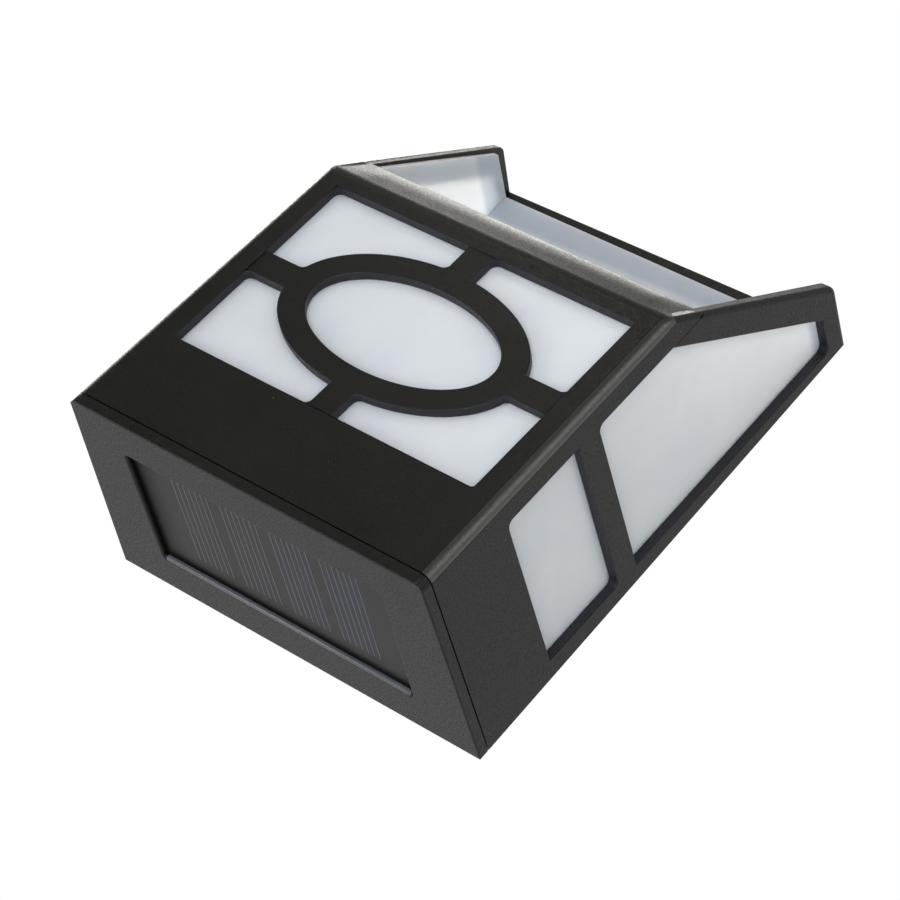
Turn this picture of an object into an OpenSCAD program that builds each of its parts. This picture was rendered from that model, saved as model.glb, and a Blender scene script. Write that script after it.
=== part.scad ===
// Solar fence light: a one-piece fretwork housing with a milky diffuser sleeve, closed by a solar cap.
// Back plane at y = 0 against the wall, front towards -Y, up is +Z, origin in the keyhole's round entry.

/* [Overall size] */
// Height from the lowest edge to the top face of the cap
lamp_h = 115; // [100:1:130]
// Height of the head, which holds the electronics above the sleeve, with the cap
upper_h = 21.4; // [21:0.1:24]
// Width across the back at the top
back_w = 90; // [86:1:100]
// Width across the front at the top
front_w = 85.2; // [82:0.2:90]
// Width across the back at the bottom
foot_w = 86; // [83:1:92]
// Depth from the wall to the front at the top
lamp_d = 48; // [42:1:56]
// How much less deep the lamp is at the ridge, where the slanted cut starts
front_lean = 1.5; // [0:0.1:3]
// Height of the ridge, as a share of the housing below the head
ridge_share = 0.4594; // [0.4:0.01:0.5]
// Depth of the short level edge at the bottom, as a share of the whole depth
foot_share = 0.3146; // [0.25:0.01:0.45]

/* [Housing] */
// Wall thickness of the housing
wall_t = 2; // [1.6:0.1:2.4]
// Radius of the upright front edges
edge_r = 2.2; // [1.6:0.1:3]
// Radius along the outer rim of the open end
rim_r = 1.2; // [0.6:0.1:1.5]
// Radius of the ridge
ridge_r = 5; // [3:0.5:8]
// Radius of the corner between slanted and level edge
toe_r = 2.5; // [1.5:0.5:5]
// Radius of the lower back edge
heel_r = 0.4; // [0.2:0.1:2]
// Radius of the upright back edges
back_r = 0.4; // [0.2:0.1:1.5]
// Radius round the top face of the cap
top_r = 0.4; // [0.2:0.1:1]
// How far the wall runs on below the ridge, along the slanted cut and back towards the wall
visor_d = 6.2; // [3:0.1:9]

/* [Front fretwork] */
// Width of the window field
field_w = 72.2; // [66:0.2:74]
// Height of the window field, as a share of the housing below the head
field_share = 0.4936; // [0.44:0.01:0.5]
// Distance from the window field up to the head
field_down = 0.6; // [0.4:0.1:2]
// Half width of the oval window
oval_rx = 21.6; // [18:0.1:24]
// Half height of the oval window, as a share of the field's height
oval_share = 0.249; // [0.2:0.01:0.28]
// Width of the ring above and below the oval window
ring_w = 5; // [4:0.1:6]
// Width of the ring at both ends of the oval window
ring_side_w = 5.7; // [4:0.1:7]
// Width of the four spokes
spoke_w = 5.8; // [4:0.1:7]
// Radius of the window corners
pane_r = 1.5; // [1:0.1:2.2]
// Depth of the step round the field, where the mould insert met the mould
insert_t = 0.15; // [0.1:0.05:0.3]

/* [Side windows] */
// Material left between the front face and the side windows
side_front = 6.15; // [5:0.05:8]
// Material left behind the side windows at the bottom
side_back = 2.5; // [2.4:0.1:4]
// Material left behind the side windows at the top
side_back_top = 4.7; // [2.4:0.1:6]
// Height of the lower edge of the large side window
side_low = 4.1; // [3.5:0.1:7]
// Lower edge of the strut between the side windows, as a share of the housing below the head
strut_share = 0.7105; // [0.66:0.01:0.75]
// Height of the strut between the side windows
strut_h = 5.6; // [4:0.1:8]
// Distance from the small side window up to the head
side_down = 0.8; // [0.5:0.1:3]
// Material left between the slanted rim and the large side window
side_rim = 5.7; // [4.5:0.1:7]
// Radius of the large side window where its front edge bends
bend_r = 1; // [0.6:0.1:2]

/* [Diffuser] */
// Thickness of the diffuser sleeve
sleeve_t = 1.1; // [0.8:0.1:1.5]
// Clearance between housing and sleeve
sleeve_gap = 0.1; // [0.05:0.05:0.3]
// How far the sleeve stays back from the rim
sleeve_in = 2.2; // [1.5:0.1:3]
// How far its slanted edges stay back from the rim, between the visor and the toe
sleeve_low = 0.8; // [0.5:0.1:2]

/* [Solar cap] */
// Thickness of the cap's edge
cap_t = 2.3; // [2:0.1:3]
// Open seam between cap and housing
seam = 0.3; // [0.1:0.05:0.5]
// Width of the panel opening
port_w = 62.4; // [56:0.2:64]
// Edge of the panel that the cap covers in front and behind
port_edge = 1.9; // [1.4:0.1:3]
// Corner radius of the panel opening
port_r = 0.6; // [0.4:0.1:3]
// Radius of the one corner of the panel opening that is rounder, in front
port_front_r = 1.8; // [0.6:0.1:3]
// Radius along the upper edge of the panel opening
lip_r = 0.5; // [0.2:0.1:0.7]
// Thickness of the cap's lip over the panel
lip_t = 0.9; // [0.8:0.1:1.4]
// Depth of the skirt that centres the cap in the housing
skirt_h = 2.4; // [1.5:0.1:3]
// Thickness of the skirt
skirt_t = 1.2; // [0.8:0.1:1.6]
// Clearance round the skirt
skirt_gap = 0.25; // [0.1:0.05:0.4]

/* [Solar panel] */
// Width of the panel
panel_w = 66; // [64:0.5:68]
// Depth of the panel, as a share of the lamp's depth
panel_share = 0.6875; // [0.62:0.01:0.7]
// Thickness of the panel's base board
panel_t = 1.2; // [0.8:0.1:1.6]
// Thickness of the resin over the cells
resin_t = 0.7; // [0.5:0.1:1]
// Thickness of the foam tape between lip and panel
tape_t = 0.2; // [0.15:0.05:0.5]
// Width of the foam tape
tape_w = 1.4; // [1:0.1:1.6]
// Number of cell strips
cells_n = 4; // [3:1:4]
// Width of one cell strip
cell_w = 9.2; // [7:0.1:10]
// Bare edge of the panel beyond both ends of a cell strip
cell_end = 4.5; // [3:0.1:6]
// Distance from strip to strip
cell_pitch = 12.1; // [11:0.1:12.5]
// Thickness of a cell strip
cell_t = 0.2; // [0.15:0.05:0.3]

/* [Hanging] */
// Height of the keyhole's round entry above the sleeve
key_up = 5.6; // [5.4:0.1:6]
// Diameter of the keyhole's round entry
key_d = 8; // [7:0.5:8.5]
// Width of the keyhole's slot
key_slot = 4.6; // [4.2:0.1:5]
// Distance from the entry up to where the screw hangs
key_travel = 5; // [4.8:0.1:5.2]
// Room behind the back wall for the screw head
key_room = 3.2; // [2.5:0.1:3.8]
// Wall of the pocket round the screw head
pocket_t = 1.2; // [0.8:0.1:1.4]

/* [Screws] */
// Thread diameter of all screws
screw_d = 2.2; // [2:0.1:2.4]
// Head diameter of all screws
head_d = 4.4; // [4:0.1:4.8]
// Head height of all screws
head_h = 1.6; // [1.2:0.1:1.8]
// Radial clearance of a screw in its post
thread_gap = 0.05; // [0.03:0.01:0.1]
// Diameter of the posts that take a screw
post_d = 5.6; // [5:0.1:6]

/* [Electronics] */
// Diameter of the cell
cell_d = 10.5; // [10:0.1:10.5]
// Length of the cell without its button
cell_body_l = 43.7; // [42:0.1:44]
// Width of the circuit board
board_w = 44; // [40:1:46]
// Depth of the circuit board
board_d = 15; // [13:0.5:15.5]
// Thickness of the circuit board
board_t = 1.2; // [1:0.1:1.6]
// Distance between the two lamps
led_span = 28; // [22:1:32]
// Diameter of a lamp
led_d = 5; // [4.8:0.1:5]
// Thickness of the tray floor
floor_t = 1.5; // [1.2:0.1:1.8]
// Thickness of the white reflector
reflector_t = 0.8; // [0.5:0.1:1]

/* [Switch] */
// Width of the switch case
switch_w = 8.6; // [8:0.1:9]
// Height of the switch case
switch_h = 4; // [3.8:0.1:4.4]
// Depth of the switch case
switch_d = 4.4; // [4:0.1:5]
// Travel of the slider from off to on
switch_travel = 2; // [1.5:0.1:2.2]
// Width of the slider's knob
knob_w = 1.8; // [1.5:0.1:2]
// Distance of the switch from the middle
switch_x = 26; // [24:0.5:28]

/* [Hidden] */
$fn = 48;
// Overrun of every cut
over = 1;
// How far the cut for a rounding reaches past its radius
reach_share = 1.3;
// Flat strips on a rounded corner and round an edge, and stations round an edge's bends
arc_n = 10;
round_n = 10;
bend_n = 8;
// Straight sides of the oval's outline
oval_n = 96;

// Sizes that follow from the height, up to the head
sleeve_top = lamp_h - upper_h;
ridge_h = ridge_share * sleeve_top;
field_h = field_share * sleeve_top;
field_z = sleeve_top - field_down - field_h;
oval_rz = oval_share * field_h;
strut_z = strut_share * sleeve_top;
side_top = sleeve_top - side_down;
key_h = sleeve_top + key_up;
// Sizes that follow from the depth
ridge_d = lamp_d - front_lean;
mouth_y = visor_d - ridge_d;
foot_d = foot_share * lamp_d;
panel_d = panel_share * lamp_d;
port_d = panel_d - 2 * port_edge;
cell_l = panel_d - 2 * cell_end;

// Lean of the side faces for each mm of height and of depth
side_kz = (back_w - foot_w) / 2 / lamp_h;
side_ky = (back_w - front_w) / 2 / lamp_d;
side_norm = norm([1, side_ky, side_kz]);
side_turn = -atan(side_ky);
side_tip = asin(side_kz / side_norm);
// Lean of the front face for each mm of height
front_k = (lamp_d - ridge_d) / (lamp_h - ridge_h);
// Steepness of the slanted cut
slant_k = ridge_h / (ridge_d - foot_d);

shell_top = lamp_h - cap_t - seam;
cap_under = lamp_h - cap_t;
resin_top = lamp_h - lip_t - tape_t;
cell_under = resin_top - resin_t;
board_under = cell_under - panel_t;
panel_y = -lamp_d / 2;
// Room round the panel in the cap
panel_gap = 0.3;
// Shift of the cell strips towards one side and towards the front, as fitted
cells_shift = -1.4;
cells_fore = 2;

// Pocket behind the keyhole
key_side = 1;
pocket_w = key_d + 2 * (key_side + pocket_t);
pocket_low = key_h - key_d / 2 - pocket_t;
pocket_high = key_h + key_travel + key_d / 2 + pocket_t;
pocket_y = wall_t + key_room + pocket_t;

// Levels in the head of the lamp
layer_gap = 0.3;
reflector_z = sleeve_top + layer_gap;
tray_z = reflector_z + reflector_t;
tray_up = tray_z + floor_t;
tray_gap = 0.3;
// Corner lugs that carry the cap
lug_in = 4;
lug_w = 8;
lug_t = 3;
lug_down = 10.5;
lug_z = lamp_h - lug_down;
lug_top = lug_z + lug_t;
lug_margin = 1;
// Posts that carry the tray
tray_post_x = 33;
// Thread lengths into the posts
cap_bite = 4.2;
tray_bite = 7;

// Circuit board, in front of the pocket
board_gap = 2.1;
board_y = -pocket_y - board_gap - board_d / 2;
board_front = board_y - board_d / 2;

// Battery cradle, between the board and the front wall
cell_share = 0.475;
cell_y = board_front + cell_share * (front_y(tray_up, wall_t) - board_front);
cell_lift = 0.1;
cell_z = tray_up + cell_d / 2 + cell_lift;
button_d = 3.4;
button_l = 0.8;
plate_t = 0.4;
plate_w = 8;
// How far the contact plates stand above their wall, to be soldered
plate_up = 1.2;
spring_l = 3.4;
spring_wire = 0.6;
spring_turns = 3;
spring_steps = 12;
spring_sides = 6;
cradle_t = 1.4;
cradle_w = 9;
cradle_h = 8.5;
cradle_gap = 0.15;
saddle_h = 4.2;
saddle_t = 2;
minus_x = -cell_body_l / 2 - spring_l;
plus_x = cell_body_l / 2 + button_l;
plate_low = tray_up + cradle_gap;
plate_top = tray_up + cradle_h + plate_up;

standoff_h = 2;
standoff_d = 5;
board_z = tray_up + standoff_h;
board_top = board_z + board_t;
board_post_x = 5;
board_post_y = 4.5;
board_bite = 1.6;
led_shift = 0.5;
led_y = board_y - led_shift;
led_flange_d = 5.8;
led_flange_t = 1;
led_l = 8.6;
led_gap = 0.25;
// Parts on the board
chip_x = -14;
chip_w = 5;
chip_d = 4;
chip_t = 1.6;
chip_lift = 0.25;
leg_w = 0.6;
leg_pitch = 1.6;
leg_t = 0.5;
coil_x = 13;
coil_d = 3.4;
coil_neck_d = 2.9;
coil_l = 8.5;
coil_end = 1.7;
coil_wire = 0.6;
wire_out = 1.7;
can_x = 7;
can_d = 4;
can_l = 6;
can_foot = 0.7;
can_neck = 0.5;
can_neck_d = 3.6;

// Switch
switch_up = 7.4;
switch_z = sleeve_top + switch_up;
switch_gap = 0.25;
switch_face = wall_t + switch_gap;
slot_len = 4.4;
slot_h = 2.6;
slot_deep = 1.6;
slide_gap = 0.1;
shoe_w = 2.2;
shoe_t = 0.9;
knob_h = 1.5;
mouth_h = knob_h + 2 * slide_gap;
knob_sink = 0.4;
port_room = 0.7;
recess_w = 11;
recess_h = 7;
recess_t = 0.7;
bracket_t = 1.3;
pin_d = 0.7;
pin_l = 2.4;
pin_pitch = 2.5;
switch_back = -switch_face - switch_d;
switch_top = switch_z + switch_h / 2;

// Screws
hole_gap = 0.3;
cross_w = 0.6;
cross_l = 2.4;
cross_h = 0.8;
head_crown = 0.5;
head_top_d = 3.4;

// Leads
lead_d = 1.3;
lead_sides = 8;
lead_rings = 9;
// Straight stub at both ends of a lead, and how far it then keeps its direction
lead_stub = 0.6;
lead_bow = 4.5;
// Direction that the sections of a lead start from, as shares of x, y and z
lead_ref_shares = [1, 0.35, 0.2];
// Places of the soldered ends on the board, from its edges
pad_in = 2;
pad_pitch = 2.6;
// Where the leads leave the panel, from the middle
panel_pad_x = 16;

function unit(v) = v / norm(v);
function half_w(y, z, inset) = foot_w / 2 + side_kz * z + side_ky * y - inset * side_norm;
function front_y(z, inset) = -(lamp_d - front_k * (lamp_h - z)) + inset * sqrt(1 + front_k * front_k);
// Height of the slanted cut at depth y, moved into the lamp by inset
function slant_z(y, inset) = (-foot_d - y) * slant_k + inset * sqrt(1 + slant_k * slant_k);
function slant_y(z, inset) = -foot_d - (z - inset * sqrt(1 + slant_k * slant_k)) / slant_k;
// Height where the front face, moved in by inset, meets the slanted cut, moved in by rise
function meet_z(inset, rise) = slant_z(front_y(0, inset), rise) / (1 - front_k * slant_k);

// Centre of the round that touches both edges at corner b between a and c
function corner_centre(a, b, c, r) =
    let (ua = unit(a - b), uc = unit(c - b)) b + unit(ua + uc) * r / sin(acos(ua * uc) / 2);
// Points of that round, from the edge of a to the edge of c
function corner_arc(a, b, c, r) =
    let (ua = unit(a - b), m = corner_centre(a, b, c, r), from = b + ua * (ua * (m - b)) - m,
         turn = sign(cross(ua, c - b)) * (180 - acos(ua * unit(c - b))), a0 = atan2(from[1], from[0]))
    [for (i = [0:arc_n]) m + r * [cos(a0 - turn * i / arc_n), sin(a0 - turn * i / arc_n)]];
// Outline with every corner rounded by its own radius
module round_outline(pts, rs) {
    k = len(pts);
    polygon([for (i = [0:k - 1]) each (rs[i] > 0
        ? corner_arc(pts[(i + k - 1) % k], pts[i], pts[(i + 1) % k], rs[i]) : [pts[i]])]);
}

// Closed skin over rings of points, its two ends fanned from point hub of the ring
module skin(rings, hub) {
    k = len(rings[0]);
    o = k * (len(rings) - 1);
    polyhedron(
        points = [for (g = rings) each g],
        faces = [
            for (j = [1:k - 2]) [hub, (hub + j) % k, (hub + j + 1) % k],
            for (i = [0:k:o - 1]) for (j = [0:k - 1])
                each [[i + j, i + k + (j + 1) % k, i + (j + 1) % k], [i + j, i + k + j, i + k + (j + 1) % k]],
            for (j = [1:k - 2]) [o + hub, o + (hub + j + 1) % k, o + (hub + j) % k]
        ]);
}
// Round tube along a path of points
function path_dir(p, i) = unit(p[min(i + 1, len(p) - 1)] - p[max(i - 1, 0)]);
function tube_ring(p, i, r, k, ref) =
    let (t = path_dir(p, i), u = unit(cross(ref, t)), v = cross(t, u))
    [for (j = [0:k - 1]) p[i] + r * (u * cos(360 * j / k) + v * sin(360 * j / k))];
module tube(p, r, k, ref) {
    skin([for (i = [0:len(p) - 1]) tube_ring(p, i, r, k, ref)], 0);
}
function bezier(a, b, c, d, t) =
    a * pow(1 - t, 3) + 3 * b * t * pow(1 - t, 2) + 3 * c * t * t * (1 - t) + d * pow(t, 3);
// Lead that leaves one end along u and reaches the other along v
module lead(a, u, b, v) {
    from = a + lead_stub * unit(u);
    to = b + lead_stub * unit(v);
    p = [a, for (i = [0:lead_rings - 1]) bezier(from, from + u, to + v, to, i / (lead_rings - 1)), b];
    tube(p, lead_d / 2, lead_sides, unit(lead_ref_shares));
}

// Moves a piece so that the keyhole's entry comes to the origin
module hung() {
    translate([0, 0, -key_h])
        children();
}
// Plane of a side face: local X points out of it, local Y to the wall, local Z up
module on_side(s) {
    mirror([s < 0 ? 1 : 0, 0, 0])
        translate([foot_w / 2, 0, 0])
            rotate([0, side_tip, side_turn])
                children();
}
// Plane of the front face: local Y points into the lamp, local Z up
module on_front() {
    translate([0, front_y(0, 0), 0])
        rotate([atan(front_k), 0, 0])
            children();
}
// Keeps what lies between the two side faces, moved in by inset
module between_sides(inset) {
    intersection() {
        children();
        for_side_half(1, inset);
        for_side_half(-1, inset);
    }
}
module for_side_half(s, inset) {
    on_side(s)
        translate([-2 * back_w - inset, -2 * lamp_h, -2 * lamp_h])
            cube([2 * back_w, 4 * lamp_h, 4 * lamp_h]);
}
// Extrudes a side view, drawn with y to the right and z up, across the lamp
module across() {
    translate([-back_w, 0, 0])
        rotate([90, 0, 90])
            linear_extrude(2 * back_w)
                children();
}
// Room inside the housing: it ends on the visor below the ridge and is open behind it
module shell_room() {
    top = lamp_h + over;
    ridge_z = meet_z(wall_t, wall_t);
    between_sides(wall_t)
        across()
            polygon([[-wall_t, -over], [-wall_t, top], [front_y(top, wall_t), top],
                [front_y(ridge_z, wall_t), ridge_z], [mouth_y, slant_z(mouth_y, wall_t)], [mouth_y, -over]]);
}
// Upright column inside the walls, moved in by inset, from z0 to z1
module column(inset, z0, z1) {
    between_sides(inset)
        across()
            polygon([[-inset, z0], [-inset, z1], [front_y(z1, inset), z1], [front_y(z0, inset), z0]]);
}

// Side view of the outer body as points on the side face, seen square to that face
function to_side(y, z) =
    let (x = half_w(y, z, 0) - foot_w / 2, out = x * cos(side_turn) + y * sin(side_turn))
    [y * cos(side_turn) - x * sin(side_turn), out * sin(side_tip) + z * cos(side_tip)];
// Angle between the side face and a face whose normal has the parts ny and nz
function face_angle(ny, nz) = acos(-(side_ky * ny + side_kz * nz) / side_norm);
function left(v) = unit([-v[1], v[0]]);
function angle_of(v) = atan2(v[1], v[0]);

function turned(m, a) = [cos(angle_of(m) - a), sin(angle_of(m) - a)];

// Section to cut away at edge point e: the round, then three points outside the lamp. The edge's other face
// lies towards m, and the two faces turn by n degrees.
function edge_ring(e, m, r, n) =
    let (c = e - m * tan(n / 2) * r, k = r * reach_share,
         round_part = [for (i = [0:round_n]) r * [sin(n * i / round_n), cos(n * i / round_n)]],
         outside = [k * [sin(n), cos(n)], [k, k], [0, k]])
    [for (q = concat(round_part, outside)) [c[0] + m[0] * q[0], c[1] + m[1] * q[0], q[1] - r]];
// Stations round a bend of the edge: its centre and radius, first direction, turn, and both edge radii
function bend(c, big, m, turn, r0, r1) =
    [for (i = [0:bend_n])
        let (v = turned(m, turn * i / bend_n)) [c + big * v, v, r0 + (r1 - r0) * i / bend_n]];
// Rounds the rim of the mouth and the upright front edge of one side, in the plane of that side face
module rim_cut() {
    c = to_side(0, 0);
    d = to_side(-foot_d, 0);
    e = to_side(-ridge_d, ridge_h);
    a = to_side(-lamp_d, lamp_h);
    m_foot = left(d - c);
    m_slant = left(e - d);
    m_front = left(a - e);
    stations = concat(
        [[c - over * unit(d - c), m_foot, rim_r]],
        bend(corner_centre(c, d, e, toe_r), toe_r, m_foot, acos(m_foot * m_slant), rim_r, rim_r),
        bend(corner_centre(d, e, a, ridge_r), ridge_r, m_slant, acos(m_slant * m_front), rim_r, edge_r),
        [[a + over * unit(a - e), m_front, edge_r]]);
    n = face_angle(-cos(atan(front_k)), -sin(atan(front_k)));
    skin([for (t = stations) edge_ring(t[0], t[1], t[2], n)], round_n + 2);
}
// Rounds a straight edge of one side face, from a to b with the lamp on the right. The edge's two faces
// turn by n degrees.
module straight_cut(a, b, r, n) {
    k = r * reach_share;
    translate(a)
        rotate([0, 0, angle_of(b - a)])
            translate([0, -tan(n / 2) * r, -r])
                rotate([90, 0, 90])
                    linear_extrude(norm(b - a))
                        difference() {
                            polygon([[0, 0], [k * sin(n), k * cos(n)], [k, k], [0, k]]);
                            circle(r);
                        }
}
// Rounds the upright back edge and the upper edge of one side
module back_cut() {
    straight_cut(to_side(0, lamp_h + over), to_side(0, -over), back_r, face_angle(1, 0));
    straight_cut(to_side(-lamp_d - over, lamp_h), to_side(over, lamp_h), top_r, face_angle(0, 1));
}

// Whole outer body: the drafted block with its slanted cut and rounded edges
module outer_body(z0, z1) {
    difference() {
        between_sides(0)
            across()
                intersection() {
                    round_outline(
                        [[0, 0], [0, lamp_h], [-lamp_d, lamp_h], [-ridge_d, ridge_h], [-foot_d, 0]],
                        [heel_r, top_r, top_r, ridge_r, toe_r]);
                    translate([-2 * lamp_d, z0])
                        square([3 * lamp_d, z1 - z0]);
                }
        for (s = [-1, 1])
            on_side(s)
                rotate([90, 0, 90])
                    back_cut();
        for (s = [-1, 1])
            on_side(s)
                rotate([90, 0, 90])
                    rim_cut();
    }
}

// Front fretwork: four corner windows and an oval
module oval(rx, rz) {
    polygon([for (i = [0:oval_n - 1]) [rx * cos(360 * i / oval_n), rz * sin(360 * i / oval_n)]]);
}
// Corner window in the upper right quarter, before its corners are rounded
module raw_pane() {
    difference() {
        translate([spoke_w / 2, spoke_w / 2])
            square([(field_w - spoke_w) / 2, (field_h - spoke_w) / 2]);
        oval(oval_rx + ring_side_w, oval_rz + ring_w);
    }
}
module round_pane() {
    offset(r = pane_r, $fn = 32)
        offset(delta = -pane_r)
            raw_pane();
}
// Squares that keep the outer corners at the spokes sharp
module spoke_corners() {
    k = 2 * pane_r;
    translate([spoke_w / 2 - over, field_h / 2 - k])
        square([k + over, k + over]);
    translate([field_w / 2 - k, spoke_w / 2 - over])
        square([k + over, k + over]);
}
// Window rounded at the frame corner and at the ring
module frame_pane() {
    round_pane();
    intersection() {
        raw_pane();
        spoke_corners();
    }
}
// Window rounded at the outer corners of the spokes only
module spoke_pane() {
    round_pane();
    difference() {
        raw_pane();
        spoke_corners();
    }
}
module front_windows() {
    on_front()
        translate([0, wall_t + over, field_z + field_h / 2])
            rotate([90, 0, 0])
                linear_extrude(wall_t + 2 * over) {
                    oval(oval_rx, oval_rz);
                    for (a = [0, 180])
                        rotate(a) {
                            spoke_pane();
                            mirror([1, 0])
                                frame_pane();
                        }
                }
    on_front()
        translate([-field_w / 2, -over, field_z])
            cube([field_w, over + insert_t, field_h]);
}

// Side windows, in the plane of the side face
function side_front_y(z) = front_y(z, side_front);
function side_back_y(z) = -side_back - (side_back_top - side_back) * z / lamp_h;
function side_low_pts() =
    let (z0 = slant_z(side_front_y(ridge_h), side_rim))
    [[side_back_y(side_low), side_low], [side_back_y(strut_z), strut_z], [side_front_y(strut_z), strut_z],
     [side_front_y(z0), z0], [slant_y(side_low, side_rim), side_low]];
function side_top_pts() =
    let (z0 = strut_z + strut_h)
    [[side_back_y(z0), z0], [side_back_y(side_top), side_top],
     [side_front_y(side_top), side_top], [side_front_y(z0), z0]];
module side_windows() {
    for (s = [-1, 1])
        on_side(s)
            translate([-wall_t - over, 0, 0])
                rotate([90, 0, 90])
                    linear_extrude(wall_t + 2 * over) {
                        round_outline(side_low_pts(), [pane_r, 0, pane_r, bend_r, 0]);
                        round_outline(side_top_pts(), [pane_r, 0, pane_r, 0]);
                    }
}

// Places of the cap screws: x side, y and the x of the axis
function lug_y(front) = front ? front_y(lug_z, wall_t) + lug_in : -wall_t - lug_in;
function lug_x(front) = half_w(lug_y(front), lug_z, wall_t) - lug_in;
module at_lugs() {
    for (s = [-1, 1], f = [false, true])
        translate([s * lug_x(f), lug_y(f), 0])
            children();
}
module at_tray_posts() {
    for (s = [-1, 1])
        translate([s * tray_post_x, panel_y, 0])
            children();
}
module at_board_posts() {
    for (s = [-1, 1])
        translate([s * board_post_x, board_y + s * board_post_y, 0])
            children();
}

// Solid of the keyhole pocket and what is cut out of it
module key_pocket_solid() {
    translate([-pocket_w / 2, -pocket_y, pocket_low])
        cube([pocket_w, pocket_y, pocket_high - pocket_low]);
}
module key_cuts() {
    deep = wall_t + over + key_room / 2;
    translate([-pocket_w / 2 + pocket_t, -pocket_y + pocket_t, pocket_low + pocket_t])
        cube([pocket_w - 2 * pocket_t, key_room, pocket_high - pocket_low - 2 * pocket_t]);
    translate([0, over, key_h])
        rotate([90, 0, 0])
            cylinder(d = key_d, h = deep);
    translate([0, over, key_h + key_travel])
        rotate([90, 0, 0])
            cylinder(d = key_slot, h = deep);
    translate([-key_slot / 2, over - deep, key_h])
        cube([key_slot, deep, key_travel]);
}
module switch_cuts() {
    w = knob_w + switch_travel + 2 * port_room;
    h = knob_h + 2 * port_room;
    translate([switch_x - w / 2, -wall_t - over, switch_z - h / 2])
        cube([w, wall_t + 2 * over, h]);
    translate([switch_x - recess_w / 2, -recess_t, switch_z - recess_h / 2])
        cube([recess_w, recess_t + over, recess_h]);
}

module housing_shell() {
    color("#2b2a29")
        hung()
            difference() {
                union() {
                    difference() {
                        outer_body(-over, shell_top);
                        shell_room();
                        front_windows();
                        side_windows();
                    }
                    intersection() {
                        column(wall_t / 2, lug_z, lug_top);
                        at_lugs()
                            translate([-lug_w / 2, -lug_w / 2, lug_z])
                                cube([lug_w, lug_w, lug_t]);
                    }
                    intersection() {
                        column(0, 0, lamp_h);
                        key_pocket_solid();
                    }
                }
                at_lugs()
                    translate([0, 0, lug_z - over])
                        cylinder(r = screw_d / 2 + hole_gap, h = lug_t + 2 * over);
                key_cuts();
                switch_cuts();
            }
}

module diffuser_sleeve() {
    inset = wall_t + sleeve_gap;
    ridge_z = meet_z(inset, sleeve_in);
    step_y = mouth_y + sleeve_gap;
    color("#d3d8e0")
        hung()
            difference() {
                between_sides(inset)
                    across()
                        round_outline(
                            [[-inset, sleeve_in], [-inset, sleeve_top],
                             [front_y(sleeve_top, inset), sleeve_top], [front_y(ridge_z, inset), ridge_z],
                             [step_y, slant_z(step_y, sleeve_in)], [step_y, slant_z(step_y, sleeve_low)],
                             [slant_y(sleeve_in, sleeve_low), sleeve_in]],
                            [0, 0, 0, 0, 0, 0, toe_r / 2]);
                column(inset + sleeve_t, -over, lamp_h);
            }
}

// Outline of the panel opening at height z, widened by out
function port_ring(out, z) =
    let (x = port_w / 2 + out, y = port_d / 2 + out, c = [[-x, -y], [x, -y], [x, y], [-x, y]],
         r = [port_front_r, port_r, port_r, port_r], k = len(c))
    [for (i = [0:k - 1])
        for (q = corner_arc(c[(i + k - 1) % k], c[i], c[(i + 1) % k], r[i] + out)) [q[0], q[1], z]];
// Cut of the panel opening, which widens in a round at the top face
module port_cut() {
    widening = [for (i = [0:bend_n])
        let (a = 90 * i / bend_n) port_ring(lip_r * (1 - cos(a)), lamp_h - lip_r + lip_r * sin(a))];
    skin(concat([port_ring(0, board_under - over)], widening, [port_ring(lip_r, lamp_h + over)]), 0);
}
module solar_cap() {
    color("#4a4a48")
        hung()
            difference() {
                union() {
                    outer_body(cap_under, lamp_h);
                    difference() {
                        column(wall_t + skirt_gap, cap_under - skirt_h, cap_under + over / 2);
                        column(wall_t + skirt_gap + skirt_t, cap_under - skirt_h - over, cap_under);
                    }
                    at_lugs()
                        translate([0, 0, lug_top])
                            cylinder(d = post_d, h = cap_under - lug_top + over / 2);
                    at_tray_posts()
                        translate([0, 0, tray_up])
                            cylinder(d = post_d, h = cap_under - tray_up + over / 2);
                }
                translate([0, panel_y, 0])
                    port_cut();
                translate([-panel_w / 2 - panel_gap, panel_y - panel_d / 2 - panel_gap, cap_under - over])
                    cube([panel_w + 2 * panel_gap, panel_d + 2 * panel_gap, cap_t - lip_t + over]);
                at_lugs()
                    translate([0, 0, lug_top - over])
                        cylinder(r = screw_d / 2 + thread_gap, h = cap_bite + 2 * over);
                at_tray_posts()
                    translate([0, 0, tray_up - over])
                        cylinder(r = screw_d / 2 + thread_gap, h = tray_bite + 2 * over);
            }
}

module panel_tape() {
    color("#151515")
        hung()
            translate([0, panel_y, resin_top])
                difference() {
                    translate([-panel_w / 2, -panel_d / 2, 0])
                        cube([panel_w, panel_d, tape_t]);
                    translate([-panel_w / 2 + tape_w, -panel_d / 2 + tape_w, -over])
                        cube([panel_w - 2 * tape_w, panel_d - 2 * tape_w, tape_t + 2 * over]);
                }
}
// The strips of cells, each t thick, standing on z = 0
module cell_strips(t) {
    for (i = [0:cells_n - 1])
        translate([cells_shift + (i - (cells_n - 1) / 2) * cell_pitch - cell_w / 2,
                   panel_y - cells_fore - cell_l / 2, 0])
            cube([cell_w, cell_l, t]);
}
module panel_resin() {
    color("#3c3c3b")
        hung()
            difference() {
                translate([-panel_w / 2, panel_y - panel_d / 2, cell_under])
                    cube([panel_w, panel_d, resin_t]);
                translate([0, 0, cell_under - over])
                    cell_strips(over + cell_t);
            }
}
module solar_cells() {
    color("#32343f")
        hung()
            translate([0, 0, cell_under])
                cell_strips(cell_t);
}
module panel_board() {
    color("#1d1e1d")
        hung()
            translate([-panel_w / 2, panel_y - panel_d / 2, board_under])
                cube([panel_w, panel_d, panel_t]);
}

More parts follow.
